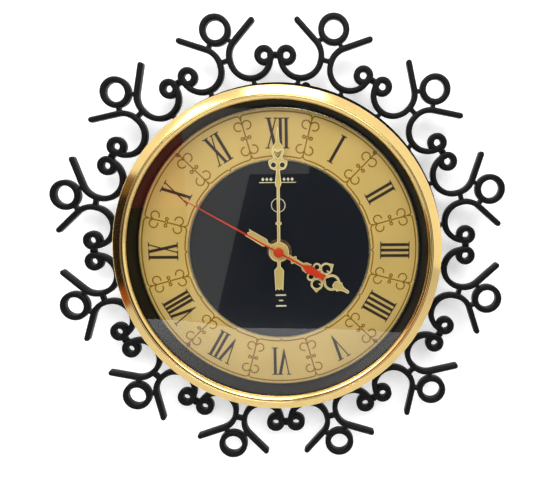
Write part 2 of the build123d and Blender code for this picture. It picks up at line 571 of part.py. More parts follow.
def contact(side):
    """A bent strip of spring steel against the bay's end wall: -1 for the flat end, 1 for the nub."""
    wall_x = HOUSING_HALF_X - HOUSING_WALL
    strip = [(wall_x, -10.0), (wall_x, -24.0), (wall_x - 0.4, -24.0), (wall_x - 0.4, -19.0),
             (wall_x - 4.6, -15.0), (wall_x - 0.4, -11.0), (wall_x - 0.4, -10.0)]
    inner = [(wall_x - 0.4, -18.4), (wall_x - 4.0, -15.0), (wall_x - 0.4, -11.6)]
    profile = outline([(side * x, y) for x, y in strip]) - outline([(side * x, y) for x, y in inner])
    return Pos(0, 0, BATTERY_Z - 4.0) * extrude(profile, amount=8.0)


# ---- Hanger ----
def hanger_plate():
    face = Pos(0, HANGER_Z) * (RectangleRounded(32.0, 12.0, 3.0) - Circle(HANGER_HOLE_R))
    for x in (-HANGER_BOSS_X, HANGER_BOSS_X):
        face -= Pos(x, HANGER_Z) * Circle(SCREW_R + 0.3)
    return plate(face, HANGER_FRONT_Y, HANGER_BACK_Y)


def hanger_screws():
    screws = Part()
    for x in (-HANGER_BOSS_X, HANGER_BOSS_X):
        screws += disc(SCREW_R, HANGER_FRONT_Y - 8, HANGER_BACK_Y, x, HANGER_Z)
        head = Pos(x, HANGER_Z) * (Circle(2.4) - Rectangle(4.8, 0.6))
        screws += plate(head, HANGER_BACK_Y, HANGER_BACK_Y + 1.2)
    return screws


# ---- Every node ----
nodes = scroll_units()
nodes.update({
    "case_body": case_body(), "glass": glass(), "bezel": bezel(),
    "dial_plate": dial_plate(), "chapter_ring": chapter_ring(), "dial_rivets": dial_rivets(),
    "hour_hand": hand(hour_hand(), HOUR_HAND_ANGLE, HOUR_HAND_Y),
    "minute_hand": hand(minute_hand(), MINUTE_HAND_ANGLE, MINUTE_HAND_Y),
    "second_hand": hand(second_hand(), SECOND_HAND_ANGLE, SECOND_HAND_Y),
    "hour_collet": collet(HOUR_TUBE_R, HOUR_HAND_Y), "minute_collet": collet(MINUTE_TUBE_R, MINUTE_HAND_Y),
    "second_hub": second_hub(), "hand_nut": hand_nut(), "sealing_washer": sealing_washer(),
    "movement_housing": movement_housing(), "train_bridge": train_bridge(),
    "movement_cover": movement_cover(), "cover_screws": cover_screws(),
    "minute_arbor": minute_arbor(), "hour_wheel": hour_wheel(), "motion_wheel": motion_wheel(),
    "setting_knob": setting_knob(), "second_wheel": second_wheel(), "third_wheel": third_wheel(),
    "centre_wheel": centre_wheel(), "intermediate_wheel": intermediate_wheel(), "rotor": rotor(),
    "stator": stator(), "coil_core": coil_core(), "coil_winding": coil_winding(),
    "circuit_board": circuit_board(), "quartz_crystal": quartz_crystal(), "control_chip": control_chip(),
    "battery": battery(), "contact_negative": contact(-1), "contact_positive": contact(1),
    "hanger_plate": hanger_plate(), "hanger_screws": hanger_screws(),
})

os.makedirs("parts", exist_ok=True)
for name, shape in nodes.items():
    export_step(shape, f"parts/{name}.step")
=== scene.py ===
import json
from math import cos, pi, radians, sin

import bmesh
import bpy
from mathutils import Matrix, Vector


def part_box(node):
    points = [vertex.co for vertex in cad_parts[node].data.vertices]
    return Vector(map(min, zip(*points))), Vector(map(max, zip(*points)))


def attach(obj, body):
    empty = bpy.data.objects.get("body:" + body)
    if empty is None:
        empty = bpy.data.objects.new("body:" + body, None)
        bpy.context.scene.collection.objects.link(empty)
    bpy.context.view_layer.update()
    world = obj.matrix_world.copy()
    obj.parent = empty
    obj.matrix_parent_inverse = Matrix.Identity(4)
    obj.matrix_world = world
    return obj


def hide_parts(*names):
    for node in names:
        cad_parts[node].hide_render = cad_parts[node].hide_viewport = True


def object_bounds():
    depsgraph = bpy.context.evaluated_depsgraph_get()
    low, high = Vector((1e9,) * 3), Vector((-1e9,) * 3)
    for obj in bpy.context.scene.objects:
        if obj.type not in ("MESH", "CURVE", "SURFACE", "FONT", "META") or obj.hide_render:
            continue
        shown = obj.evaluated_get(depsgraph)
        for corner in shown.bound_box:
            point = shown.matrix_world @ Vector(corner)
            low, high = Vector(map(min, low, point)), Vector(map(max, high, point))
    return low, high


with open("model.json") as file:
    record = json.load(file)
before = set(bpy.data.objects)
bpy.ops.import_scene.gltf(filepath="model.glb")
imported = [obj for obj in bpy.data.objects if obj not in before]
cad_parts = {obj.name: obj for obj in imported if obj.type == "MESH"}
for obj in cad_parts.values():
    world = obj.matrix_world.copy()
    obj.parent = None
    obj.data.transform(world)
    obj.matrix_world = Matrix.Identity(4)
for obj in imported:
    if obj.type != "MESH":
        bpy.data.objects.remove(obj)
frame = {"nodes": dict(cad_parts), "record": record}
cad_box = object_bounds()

# Looks of a sunburst wall clock. Shapes are drawn in millimetres in the CAD frame: x to the right,
# z up, y into the wall, with the hands' axis at x = z = 0. Meshes are scaled to metres when made.
# The stage, the lights and the camera are in metres from the start.
MM = 0.001
HOURS = 12
HOUR_ANGLE = 360 / HOURS
WELD = 0.002                     # points closer than this are one point
SHARP_ANGLE = 40                 # edges that turn more than this are shaded sharp
CAP_STEPS = 8                    # steps round each end of a bar
ROUND_STEPS = 5                  # steps round each rounded edge of a bar


def front_of(node):
    """The y of a CAD node's front, in millimetres."""
    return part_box(node)[0].y / MM


def back_of(node):
    """The y of a CAD node's back, in millimetres."""
    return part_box(node)[1].y / MM


def outer_radius(node):
    """The radius of a round CAD node on the hands' axis, in millimetres."""
    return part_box(node)[1].x / MM


# ---- Mesh helpers ----
def add_object(name, data):
    """An object in the scene that holds this mesh, lamp or lens."""
    piece = bpy.data.objects.new(name, data)
    bpy.context.scene.collection.objects.link(piece)
    return piece


def mesh_from(name, bm):
    mesh = bpy.data.meshes.new(name)
    bm.to_mesh(mesh)
    bm.free()
    return mesh


def smooth_object(name, mesh):
    """An object shaded smooth, apart from the sharp edges of its mesh."""
    mesh.polygons.foreach_set("use_smooth", [True] * len(mesh.polygons))
    mesh.set_sharp_from_angle(angle=radians(SHARP_ANGLE))
    return add_object(name, mesh)


def drawn_object(name, bm):
    """An object from a mesh drawn in millimetres."""
    bmesh.ops.remove_doubles(bm, verts=bm.verts, dist=WELD)
    bmesh.ops.recalc_face_normals(bm, faces=bm.faces)
    bmesh.ops.scale(bm, vec=(MM, MM, MM), verts=bm.verts)
    return smooth_object(name, mesh_from(name, bm))


def lofted(rows):
    """Faces between successive rows of points, the last row joined to the first."""
    bm = bmesh.new()
    grid = [[bm.verts.new(point) for point in row] for row in rows]
    for one, two in zip(grid, grid[1:] + grid[:1]):
        for i in range(len(one) - 1):
            bm.faces.new((one[i], one[i + 1], two[i + 1], two[i]))
    return bm


def lathe(profile, segments, centre=(0.0, 0.0)):
    """A closed outline of (radius, y) points, turned about an axis along y."""
    closed = profile + profile[:1]
    rows = []
    for k in range(segments):
        a = 2 * pi * k / segments
        rows.append([(centre[0] + r * sin(a), y, centre[1] + r * cos(a)) for r, y in closed])
    return lofted(rows)


def prism(points, front, back):
    """A flat outline of (x, z) points, given thickness between two planes."""
    bm = bmesh.new()
    near = [bm.verts.new((x, front, z)) for x, z in points]
    far = [bm.verts.new((x, back, z)) for x, z in points]
    bm.faces.new(near)
    bm.faces.new(reversed(far))
    for i in range(len(points)):
        j = (i + 1) % len(points)
        bm.faces.new((near[i], near[j], far[j], far[i]))
    return bm


def arc(x, z, radius, start, end, step=6.0):
    """Points from one angle to another, in degrees from +x towards +z."""
    count = max(2, round(abs(end - start) / step) + 1)
    turns = [radians(start + (end - start) * i / (count - 1)) for i in range(count)]
    return [(x + radius * cos(a), z + radius * sin(a)) for a in turns]


def arc_through(one, two, three, count):
    """Points on the circle through three points."""
    (ax, az), (bx, bz), (cx, cz) = one, two, three
    d = 2 * (ax * (bz - cz) + bx * (cz - az) + cx * (az - bz))
    a2, b2, c2 = ax * ax + az * az, bx * bx + bz * bz, cx * cx + cz * cz
    centre = Vector(((a2 * (bz - cz) + b2 * (cz - az) + c2 * (az - bz)) / d,
                     (a2 * (cx - bx) + b2 * (ax - cx) + c2 * (bx - ax)) / d))
    first, last = Vector(one) - centre, Vector(three) - centre
    turn = first.angle_signed(last)
    points = []
    for i in range(count + 1):
        spoke = first.copy()
        spoke.rotate(Matrix.Rotation(-turn * i / count, 2))
        points.append(tuple(centre + spoke))
    return points


def mirrored(path):
    return [(-x, z) for x, z in path]


def rounded_edge(half_width, y, radius, inward):
    """(across, y) points from a bar's face at y to its side; inward is 1 or -1, towards the other face."""
    if not radius:
        return [(half_width, y)]
    turns = [radians(90 * i / ROUND_STEPS) for i in range(ROUND_STEPS + 1)]
    return [(half_width - radius * (1 - sin(a)), y + inward * radius * (1 - cos(a))) for a in turns]


def half_section(half_width, front, back, front_round=0.0, back_round=0.0):
    """(across, y) points of half a bar's section, from the middle of its front to that of its back."""
    front_edge = rounded_edge(half_width, front, front_round, 1)
    back_edge = rounded_edge(half_width, back, back_round, -1)
    return [(0.0, front)] + front_edge + back_edge[::-1] + [(0.0, back)]


def bar(path, half, widths=None):
    """A bar with round ends along a flat path; half is its half section, widths scale it point by point."""
    widths = widths or [1.0] * len(path)
    stations = []
    for i, point in enumerate(path):
        before, after = path[max(i - 1, 0)], path[min(i + 1, len(path) - 1)]
        along = Vector((after[0] - before[0], after[1] - before[1])).normalized()
        stations.append((point, along, widths[i]))

    def row(point, along, width, turn):
        side = Vector((along.y, -along.x))
        side.rotate(Matrix.Rotation(radians(turn), 2))
        return [(point[0] + side.x * u * width, y, point[1] + side.y * u * width) for u, y in half]

    rows = []
    for turn, side_stations in ((0, stations), (180, stations[::-1])):
        rows += [row(*station, turn) for station in side_stations]
        end = side_stations[-1]
        rows += [row(*end, turn + 180 * i / CAP_STEPS) for i in range(1, CAP_STEPS)]
    return lofted(rows)


def union(name, meshes):
    """One closed object from overlapping meshes."""
    parts = [drawn_object(f"{name}_part", bm) for bm in meshes]
    group = bpy.data.collections.new(f"{name}_parts")
    for part in parts[1:]:
        group.objects.link(part)
    join = parts[0].modifiers.new("union", "BOOLEAN")
    join.operation = "UNION"
    join.operand_type = "COLLECTION"
    join.collection = group
    join.solver = "EXACT"
    view = bpy.context.evaluated_depsgraph_get()
    mesh = bpy.data.meshes.new_from_object(parts[0].evaluated_get(view))
    for part in parts:
        bpy.data.objects.remove(part)
    bpy.data.collections.remove(group)
    return smooth_object(name, mesh)


def place(piece, paint, body="root", stands_for=()):
    """Gives a new piece its body and material, and hides the CAD nodes that it stands for."""
    piece.data.materials.clear()
    piece.data.materials.append(paint)
    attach(piece, body)
    if stands_for:
        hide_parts(*stands_for)


def turn_round(piece, degrees):
    """Turns a piece's mesh clockwise about the hands' axis."""
    piece.data.transform(Matrix.Rotation(radians(degrees), 4, "Y"))


def repeat_between_hours(unit, name, slot, extra_turn=0.0, node_name=None):
    """Copies of a unit drawn at the top, halfway between the hours; each may stand for a numbered node."""
    for k in range(HOURS):
        piece = add_object(f"{name}_{k + 1:02d}", unit.data.copy())
        turn_round(piece, HOUR_ANGLE * (k + 0.5) + extra_turn)
        place(piece, PAINT[slot], stands_for=[f"{node_name}_{k + 1:02d}"] if node_name else ())
    bpy.data.objects.remove(unit)


# ---- Materials ----
TONE_DETAIL, RELIEF_DETAIL, SMEAR_DETAIL = 5.0, 3.0, 6.0
DARK_BELOW, LIGHT_ABOVE = 0.3, 0.7       # noise values where the two tones are pure
# painted light: the greyer black that the case's back-facing faces are lightened to
PAINTED_BACK_LIGHT = (0.02, 0.02, 0.022, 1.0)
PAINTED_LIGHT_START, PAINTED_LIGHT_FULL = 0.2, 0.6     # y of a normal where the painted light on the case's back starts and is full
GLASS_TINTS = (0.95, 0.97, 0.965, 1.0), (0.98, 0.99, 0.985, 1.0)
SMEAR_GRAIN = 18.0


def set_sockets(node, **values):
    """Sets input sockets by name, with _ for each space."""
    for name, value in values.items():
        node.inputs[name.replace("_", " ")].default_value = value


def add_node(tree, kind, **values):
    node = tree.nodes.new(f"ShaderNode{kind}")
    set_sockets(node, **values)
    return node


def new_material(name, **values):
    """A material, its node tree and its Principled surface, whose sockets get these values."""
    made = bpy.data.materials.new(name)
    made.use_nodes = True
    surface = made.node_tree.nodes["Principled BSDF"]
    set_sockets(surface, **values)
    return made, made.node_tree, surface


def see_through_where(tree, surface, factor):
    """Swaps the surface for a fully clear one where the factor is 1."""
    clear = add_node(tree, "BsdfTransparent")
    mix = add_node(tree, "MixShader")
    tree.links.new(factor, mix.inputs["Fac"])
    tree.links.new(surface.outputs["BSDF"], mix.inputs[1])
    tree.links.new(clear.outputs["BSDF"], mix.inputs[2])
    tree.links.new(mix.outputs["Shader"], tree.nodes["Material Output"].inputs["Surface"])


def material(name, colour, roughness, metallic=0.0, dark=0.8, grain=400.0, spread=0.06, bump=0.0,
             bump_grain=2500.0, stretch=(1.0, 1.0, 1.0), **sockets):
    """Principled surface whose colour and roughness vary with fine noise in the piece's own space.

    dark is how far the darker tone falls below the colour, grain the noise's scale per metre,
    spread how much the roughness varies, and bump the height of the surface's texture in metres."""
    made, tree, surface = new_material(name, Metallic=metallic, **sockets)
    place_in = add_node(tree, "TexCoord")
    mapping = add_node(tree, "Mapping", Scale=stretch)
    tree.links.new(place_in.outputs["Object"], mapping.inputs["Vector"])

    noise = add_node(tree, "TexNoise", Scale=grain, Detail=TONE_DETAIL)
    tree.links.new(mapping.outputs["Vector"], noise.inputs["Vector"])
    tones = add_node(tree, "ValToRGB")
    darker, lighter = tones.color_ramp.elements
    darker.position, lighter.position = DARK_BELOW, LIGHT_ABOVE
    darker.color = [c * dark for c in colour] + [1.0]
    lighter.color = list(colour) + [1.0]
    tree.links.new(noise.outputs["Fac"], tones.inputs["Fac"])
    tree.links.new(tones.outputs["Color"], surface.inputs["Base Color"])

    rough = add_node(tree, "MapRange", To_Min=max(0.0, roughness - spread), To_Max=roughness + spread)
    tree.links.new(noise.outputs["Fac"], rough.inputs["Value"])
    tree.links.new(rough.outputs["Result"], surface.inputs["Roughness"])

    if bump:
        fine = add_node(tree, "TexNoise", Scale=bump_grain, Detail=RELIEF_DETAIL)
        tree.links.new(mapping.outputs["Vector"], fine.inputs["Vector"])
        relief = add_node(tree, "Bump", Distance=bump)
        tree.links.new(fine.outputs["Fac"], relief.inputs["Height"])
        tree.links.new(relief.outputs["Normal"], surface.inputs["Normal"])
    return made


def case_material():
    """Black moulding, lightened to a greyer black where its faces look back: painted light on the case's
    back.
    """
    made = material("case_plastic", (0.003, 0.003, 0.0035), 0.4, Specular_IOR_Level=0.06,
                    Coat_Weight=0.12, Coat_Roughness=0.3)
    tree = made.node_tree
    base_colour = tree.nodes["Principled BSDF"].inputs["Base Color"]
    front_colour = base_colour.links[0].from_socket
    facing = add_node(tree, "NewGeometry")
    split = add_node(tree, "SeparateXYZ")
    tree.links.new(facing.outputs["Normal"], split.inputs["Vector"])
    # painted light: faces that look back are mixed towards a greyer black
    painted_light_share = add_node(tree, "MapRange", From_Min=PAINTED_LIGHT_START, From_Max=PAINTED_LIGHT_FULL)
    tree.links.new(split.outputs["Y"], painted_light_share.inputs["Value"])
    mix = add_node(tree, "Mix")
    mix.data_type = "RGBA"
    first_in, second_in = [socket for socket in mix.inputs if socket.type == "RGBA"]
    second_in.default_value = PAINTED_BACK_LIGHT
    tree.links.new(painted_light_share.outputs["Result"], mix.inputs["Factor"])
    tree.links.new(front_colour, first_in)
    mixed = next(socket for socket in mix.outputs if socket.type == "RGBA")
    tree.links.new(mixed, base_colour)
    return made


def glass_material():
    """Clear glass that lets lamps through to the dial behind it."""
    made, tree, surface = new_material("glass_clear", Transmission_Weight=1.0, IOR=1.5, Roughness=0.0)
    where = add_node(tree, "TexCoord")
    smears = add_node(tree, "TexNoise", Scale=SMEAR_GRAIN, Detail=SMEAR_DETAIL)
    tree.links.new(where.outputs["Object"], smears.inputs["Vector"])
    tint = add_node(tree, "ValToRGB")
    for element, colour in zip(tint.color_ramp.elements, GLASS_TINTS):
        element.color = colour
    tree.links.new(smears.outputs["Fac"], tint.inputs["Fac"])
    tree.links.new(tint.outputs["Color"], surface.inputs["Base Color"])
    ray = add_node(tree, "LightPath")
    see_through_where(tree, surface, ray.outputs["Is Shadow Ray"])
    return made


FINISHES = {
    "wreath_plastic": dict(colour=(0.0035, 0.0035, 0.004), roughness=0.42, dark=0.7, bump=8e-6,
                           Specular_IOR_Level=0.15),
    "bezel_gold": dict(colour=(0.86, 0.62, 0.24), roughness=0.13, metallic=1.0, dark=0.94, grain=60,
                       spread=0.02),
    "dial_black": dict(colour=(0.0008, 0.002, 0.005), roughness=0.3, spread=0.03, Specular_IOR_Level=0.15,
                       Coat_Weight=0.6, Coat_Roughness=0.12),
    "chapter_gold": dict(colour=(0.54, 0.375, 0.105), roughness=0.4, metallic=0.5, dark=0.93, grain=45,
                         bump=3e-6, Coat_Weight=1.0, Coat_Roughness=0.18),
    # painted highlight: a lighter gold for the chapter ring's raised edges
    "edge_painted_highlight_gold": dict(colour=(0.86, 0.70, 0.38), roughness=0.2, metallic=1.0, dark=0.9),
    "numeral_print": dict(colour=(0.016, 0.008, 0.004), roughness=0.5, dark=0.6, Specular_IOR_Level=0.2),
    "line_print": dict(colour=(0.20, 0.10, 0.008), roughness=0.5, dark=0.85, Specular_IOR_Level=0.05),
    "hand_brass": dict(colour=(0.50, 0.375, 0.115), roughness=0.4, metallic=0.5, dark=0.93, grain=120),
    # painted highlight: the lighter gold of the hands' raised rims and of the hour collet's face
    "hand_rim_painted_highlight": dict(colour=(0.76, 0.65, 0.34), roughness=0.35, metallic=0.4, dark=0.95, grain=120),
    "second_red": dict(colour=(0.40, 0.024, 0.002), roughness=0.4, dark=0.9, grain=120,
                       Specular_IOR_Level=0.15),
    "nut_brass": dict(colour=(0.46, 0.27, 0.14), roughness=0.2, metallic=0.9, dark=0.75, grain=300),
    "rivet_bronze": dict(colour=(0.16, 0.075, 0.02), roughness=0.4, metallic=0.4, dark=0.8),
    "mark_gold": dict(colour=(0.62, 0.55, 0.36), roughness=0.5, dark=0.9),
    "washer_rubber": dict(colour=(0.015, 0.015, 0.015), roughness=0.75),
    "housing_plastic": dict(colour=(0.018, 0.018, 0.02), roughness=0.5, bump=2e-5),
    "cover_plastic": dict(colour=(0.52, 0.50, 0.44), roughness=0.42, dark=0.9, bump=1.5e-5),
    "gear_plastic": dict(colour=(0.78, 0.75, 0.66), roughness=0.35, dark=0.93),
    "steel": dict(colour=(0.56, 0.56, 0.58), roughness=0.3, metallic=1.0, dark=0.8,
                  stretch=(6.0, 1.0, 1.0), bump=6e-6),
    "winding_copper": dict(colour=(0.55, 0.19, 0.06), roughness=0.3, metallic=1.0, dark=0.5,
                           stretch=(1.0, 0.03, 0.03), grain=4000, bump=6e-5, bump_grain=6000),
    "board_green": dict(colour=(0.02, 0.12, 0.045), roughness=0.3, dark=0.7),
    "chip_black": dict(colour=(0.012, 0.012, 0.012), roughness=0.4),
    "battery_can": dict(colour=(0.05, 0.07, 0.11), roughness=0.28, dark=0.85),
    "knob_plastic": dict(colour=(0.03, 0.03, 0.032), roughness=0.4, bump=1.5e-5),
}
PAINT = {name: material(name, **finish) for name, finish in FINISHES.items()}
PAINT["case_plastic"] = case_material()
PAINT["glass_clear"] = glass_material()


# ---- Wreath: twelve openwork scroll units round the hoop ----
WREATH_FRONT, WREATH_BACK = front_of("scroll_unit_01"), back_of("scroll_unit_01")
FRONT_ROUND, BACK_ROUND = 1.35, 0.5
BAR_WIDTH = 4.1
RING_CENTRE, RING_RADIUS, RING_HOLE, RING_SIDES = 158.1, 10.9, 6.55, 64
SCROLL_X, SCROLL_Z, SCROLL_RADIUS, SCROLL_RISE = 17.75, 134.4, 14.1, 1.3
ARM_ANGLE, ARM_LENGTH = 33, 19.0
EYE_X, EYE_Z, EYE_RADIUS, EYE_HOLE = 27.73, 133.2, 6.9, 2.4
BOWL_END = 352                   # the bowl runs into the eye here
HOOP_RADIUS = 117.4
FOOT_X, WAIST_Z, SIDE_NECK_RADIUS = 15.6, 136.4, 136.0
NECK_WIDTH, NECK_SET_BACK, NECK_FRONT_ROUND, NECK_BACK_ROUND = 3.0, 0.25, 1.0, 0.4
NECK_INSET = 1.3                 # a neck's round end starts this far from the middle of its bar
NECK_STEPS, NECK_FLARE = 8, 0.5  # a neck's ends are this share wider than its middle


def scroll_path():
    """Middle of the right-hand scroll: from the eye round the bowl, up, and out along the arm."""
    path = arc(SCROLL_X, SCROLL_Z, SCROLL_RADIUS, BOWL_END, 180)
    path += arc(SCROLL_X, SCROLL_Z + SCROLL_RISE, SCROLL_RADIUS, 180, ARM_ANGLE + 90)
    x, z = path[-1]
    return path + [(x + ARM_LENGTH * cos(radians(ARM_ANGLE)), z + ARM_LENGTH * sin(radians(ARM_ANGLE)))]


def rounded_ring(centre, radius, hole):
    middle, half = (radius + hole) / 2, (radius - hole) / 2
    section = half_section(half, WREATH_FRONT, WREATH_BACK, FRONT_ROUND, BACK_ROUND)
    outer = [(middle + u, y) for u, y in section]
    inner = [(middle - u, y) for u, y in reversed(section[1:-1])]
    return lathe(outer + inner, RING_SIDES, centre)


def neck(start, end):
    """Joins two bars whose middles it is given, flared at both ends as a moulding is."""
    half = half_section(NECK_WIDTH / 2, WREATH_FRONT + NECK_SET_BACK, WREATH_BACK - NECK_SET_BACK,
                        NECK_FRONT_ROUND, NECK_BACK_ROUND)
    start, end = Vector(start), Vector(end)
    inset = (end - start).normalized() * NECK_INSET
    shares = [i / NECK_STEPS for i in range(NECK_STEPS + 1)]
    path = [tuple((start + inset).lerp(end - inset, share)) for share in shares]
    flare = [1 + NECK_FLARE * (2 * share - 1) ** 4 for share in shares]
    return bar(path, half, flare)


def right_necks():
    """Where the necks of the unit's right half start and end: the foot, the tie and the side joint."""
    foot_top = SCROLL_Z - (SCROLL_RADIUS ** 2 - (SCROLL_X - FOOT_X) ** 2) ** 0.5
    foot_end = (HOOP_RADIUS ** 2 - FOOT_X ** 2) ** 0.5 - NECK_INSET
    ring = Vector((0, RING_CENTRE))
    to_scroll = Vector((SCROLL_X, SCROLL_Z + SCROLL_RISE - RING_CENTRE))
    toward = to_scroll.normalized()
    ring_middle = (RING_RADIUS + RING_HOLE) / 2
    eye, eye_middle = Vector((EYE_X, EYE_Z)), (EYE_RADIUS + EYE_HOLE) / 2
    boundary = radians(HOUR_ANGLE / 2)
    side_out = Vector((SIDE_NECK_RADIUS * sin(boundary), SIDE_NECK_RADIUS * cos(boundary)))
    outward = (side_out - eye).normalized()
    return [((FOOT_X, foot_top), (FOOT_X, foot_end)),
            (ring + toward * ring_middle, ring + toward * (to_scroll.length - SCROLL_RADIUS)),
            (eye + outward * eye_middle, side_out + outward * NECK_INSET)]


def scroll_unit():
    """One unit of the wreath, drawn at the top."""
    half = half_section(BAR_WIDTH / 2, WREATH_FRONT, WREATH_BACK, FRONT_ROUND, BACK_ROUND)
    meshes = [bar(scroll_path(), half), bar(mirrored(scroll_path()), half)]
    meshes.append(rounded_ring((0, RING_CENTRE), RING_RADIUS, RING_HOLE))
    for side in (-1, 1):
        meshes.append(rounded_ring((side * EYE_X, EYE_Z), EYE_RADIUS, EYE_HOLE))
        for start, end in right_necks():
            meshes.append(neck((side * start[0], start[1]), (side * end[0], end[1])))
    waist_x = SCROLL_X - SCROLL_RADIUS
    meshes.append(neck((-waist_x, WAIST_Z), (waist_x, WAIST_Z)))
    return union("scroll", meshes)


def wreath():
    repeat_between_hours(scroll_unit(), "scroll", "wreath_plastic", node_name="scroll_unit")


# ---- Bezel: one spun sheet, a bead inside and a slope outside ----
SHEET = 0.8
BEZEL_SIDES = 360
LIP_IN, CREST_IN, SLOPE_END_IN, ROLL_MIDDLE_IN = 9.6, 7.1, 0.5, 0.12     # in from the outer edge
LIP_Y, SLOPE_END_Y, ROLL_MIDDLE_Y, ROLL_END_Y = 2.2, 3.0, 3.35, 3.8      # back from the front
BEAD_OUT, BEAD_Y = 0.9, 0.75                     # middle of the bead's curve, out from the lip
GROOVE_START, GROOVE_END, GROOVE_Y = 0.15, 0.75, 0.12        # out from the crest
SLOPE_START, SLOPE_START_Y, SLOPE_CROWN = 0.9, 0.02, 0.1     # out from the crest; the slope bulges
INSIDE_OUT, INSIDE_IN, INSIDE_Y, INSIDE_EDGE_Y = 0.8, 0.3, 1.2, 4.4      # hollow behind the crest


def bezel():
    edge, front, back = outer_radius("bezel"), front_of("bezel"), back_of("bezel")
    lip, crest, slope_end = edge - LIP_IN, edge - CREST_IN, edge - SLOPE_END_IN
    lip_y, slope_start, slope_end_y = front + LIP_Y, crest + SLOPE_START, front + SLOPE_END_Y
    slope_middle = ((slope_start + slope_end) / 2, (front + slope_end_y) / 2 - SLOPE_CROWN)
    profile = arc_through((lip, lip_y), (lip + BEAD_OUT, front + BEAD_Y), (crest, front), count=12)
    profile += [(crest + GROOVE_START, front + GROOVE_Y), (crest + GROOVE_END, front + GROOVE_Y)]
    profile += arc_through((slope_start, front + SLOPE_START_Y), slope_middle, (slope_end, slope_end_y),
                           count=14)
    profile += arc_through((slope_end, slope_end_y), (edge - ROLL_MIDDLE_IN, front + ROLL_MIDDLE_Y),
                           (edge, front + ROLL_END_Y), count=5)[1:]
    profile += [(edge, back), (edge - SHEET, back), (edge - SHEET, front + INSIDE_EDGE_Y),
                (crest + INSIDE_OUT, front + INSIDE_Y), (crest - INSIDE_IN, front + INSIDE_Y),
                (lip + BEAD_OUT, lip_y + SHEET), (lip, lip_y + SHEET)]
    piece = drawn_object("bezel_gold", lathe(profile, BEZEL_SIDES))
    place(piece, PAINT["bezel_gold"], stands_for=["bezel"])


# ---- Print, and raised edges with a painted highlight, on the chapter ring ----
PRINT_THICK = 0.05
PRINT_SINK = 0.03                # how deep the print's back lies in the ring, so that no gap shows
PRINT_TURN = 0.6                 # the print sits a little clockwise of true, in degrees
NUMERALS = ("XII", "I", "II", "III", "IIII", "V", "VI", "VII", "VIII", "IX", "X", "XI")
NUMERAL_TOP, NUMERAL_BOTTOM = 92.8, 71.8
THICK_STROKE, THIN_STROKE = 2.15, 0.9
SERIF_THICK, SERIF_OVERHANG = 0.75, 1.2
LETTER_WIDTH = {"I": THICK_STROKE, "V": 8.1, "X": 6.8}
GAP_AFTER = {"I": 1.8, "V": 1.3, "X": 1.5}
WIDEST = 17.8                    # a wider numeral has its gaps squeezed
V_APEX, V_POINT = 3.95, 72.9     # from the letter's left edge, and from the axis
V_POINT_HALF = 0.25
LINE_WIDTH = 0.95
OUTER_LINE, INNER_LINE = 97.3, 66.8      # radii of the two border lines
OUTER_TURN = ((0.15, 2.6), (0.4, 1.2), (1.2, 0.25))      # from the axis into the outer line: x, in from it
INNER_TURN = ((0.15, 2.4), (0.5, 0.9), (1.6, 0.15))      # from the axis into the inner line: x, out from it
OUTER_START, INNER_START = 1.6, 2.2      # degrees from the axis where the turns meet the lines
INNER_STOP, INNER_DIP = 1.0, 1.2         # degrees from its end where the inner line dips, and how far
AXIS_LOW_GAP, AXIS_HIGH_GAP = 2.0, 2.2   # between the axis and the border lines
KNOT_LOW, KNOT_MIDDLE, KNOT_HIGH, KNOT_HALF = 80.6, 81.8, 83.0, 1.15
LOOP_X, LOOP_RADIUS = 2.5, 0.95
CURL_X, HIGH_CURL_Z, LOW_CURL_Z, CURL_RADIUS = 3.0, 90.3, 73.2, 2.9
CURL_ROOT_X, HIGH_CURL_ROOT_Z, LOW_CURL_ROOT_Z = 0.1, 91.2, 72.2
BORDER_STEP, CURL_STEP, LOOP_STEP = 2, 15, 30            # in degrees
CUT_EDGE_SIDES = 240
INNER_EDGE = (63.8, 65.0)
OUTER_EDGE_WIDTH = 0.9
EDGE_SINK, EDGE_RISE, EDGE_CROWN = 0.1, 0.06, 0.14


def serif(span, z):
    """Outline of a serif on a stroke's (left, right) end, upwards from z."""
    left, right = span[0] - SERIF_OVERHANG, span[1] + SERIF_OVERHANG
    return [(left, z), (right, z), (right, z + SERIF_THICK), (left, z + SERIF_THICK)]


def top_serif(span):
    return serif(span, NUMERAL_TOP - SERIF_THICK)


def stroke(top, bottom):
    """Outlines of a stroke between two (left, right) spans, and of its serifs."""
    body = [(bottom[0], NUMERAL_BOTTOM), (bottom[1], NUMERAL_BOTTOM), (top[1], NUMERAL_TOP),
            (top[0], NUMERAL_TOP)]
    return [body, top_serif(top), serif(bottom, NUMERAL_BOTTOM)]


def letter_outlines(letter, left):
    right = left + LETTER_WIDTH[letter]
    if letter == "I":
        return stroke((left, right), (left, right))
    if letter == "X":
        thick = stroke((left, left + THICK_STROKE), (right - THICK_STROKE, right))
        thin = stroke((right - THIN_STROKE, right), (left, left + THIN_STROKE))
        return thick + thin
    apex, height = left + V_APEX, NUMERAL_TOP - V_POINT
    fall_left, fall_right = apex - V_POINT_HALF - left, right - apex - V_POINT_HALF
    share = (right - THICK_STROKE - left - THIN_STROKE) / (fall_left + fall_right)
    notch = (left + THIN_STROKE + fall_left * share, NUMERAL_TOP - height * share)
    body = [(apex - V_POINT_HALF, V_POINT), (apex + V_POINT_HALF, V_POINT), (right, NUMERAL_TOP),
            (right - THICK_STROKE, NUMERAL_TOP), notch, (left + THIN_STROKE, NUMERAL_TOP),
            (left, NUMERAL_TOP)]
    return [body, top_serif((left, left + THIN_STROKE)), top_serif((right - THICK_STROKE, right))]


